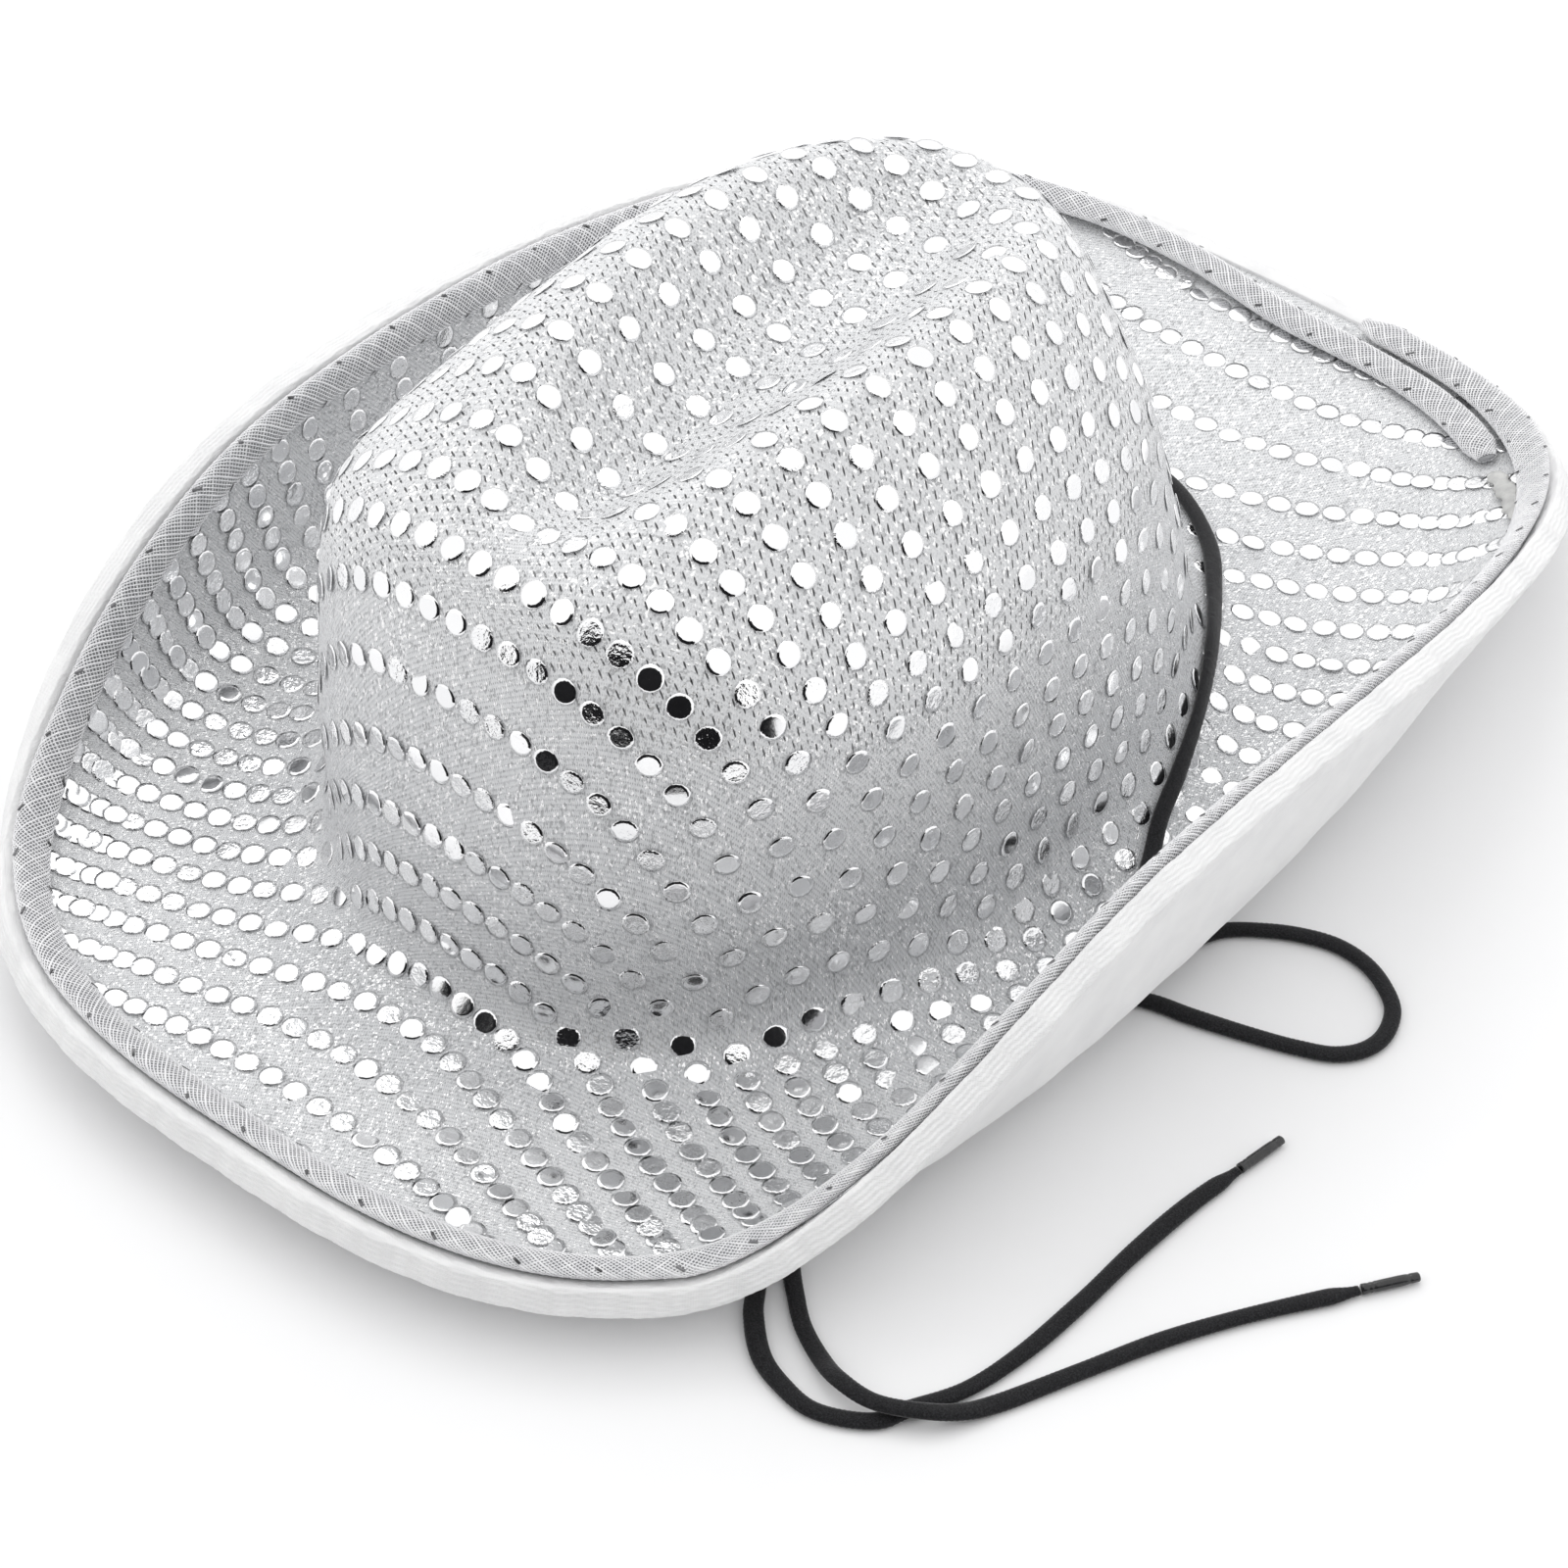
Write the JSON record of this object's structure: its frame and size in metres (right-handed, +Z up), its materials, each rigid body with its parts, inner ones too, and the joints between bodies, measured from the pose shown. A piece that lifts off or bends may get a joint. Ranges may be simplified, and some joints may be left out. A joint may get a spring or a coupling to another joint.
{
  "type": "western party hat",
  "caption": "Sequinned western-style party hat with a creased crown, a brim rolled up at the sides with a trimmed edge, and a black chin cord.",
  "frame": {"origin": "middle of the hat's box at the table it stands on: the sweatband's lower edge is at Z = 0", "axes": "+Z up, the crown's narrow dented front faces -Y, the wearer's left is +X"},
  "size_m": [0.3364, 0.3999, 0.137],
  "materials": {
    "sequin_knit": "white knit covered with glossy white sequins",
    "foam": "moulded white foam",
    "lining": "smooth white backing cloth",
    "sweatband": "white woven band",
    "steel_wire": "bright wire",
    "brass_sleeve": "plain",
    "woven_tape": "ribbed white tape",
    "mesh_tube": "open white plastic mesh with silver flecks",
    "glue": "clear grey",
    "eyelet_metal": "nickel plated",
    "lace": "black tubular braid",
    "aglet": "glossy black"
  },
  "bodies": {
    "root": {"sequin_fabric_skin": "sequin_knit", "moulded_foam_body": "foam", "moulded_lining_cloth": "lining", "sweatband": "sweatband", "brim_edge_wire": "steel_wire", "wire_joint_sleeve": "brass_sleeve", "edge_binding_tape": "woven_tape", "mesh_tube_trim": "mesh_tube", "trim_end_glue": "glue", "left_eyelet": "eyelet_metal", "left_eyelet_washer": "eyelet_metal", "right_eyelet": "eyelet_metal", "right_eyelet_washer": "eyelet_metal", "chin_cord_band": "lace", "chin_cord_left_tail": "lace", "chin_cord_right_tail": "lace", "left_aglet": "aglet", "right_aglet": "aglet"}
  },
  "joints": []
}
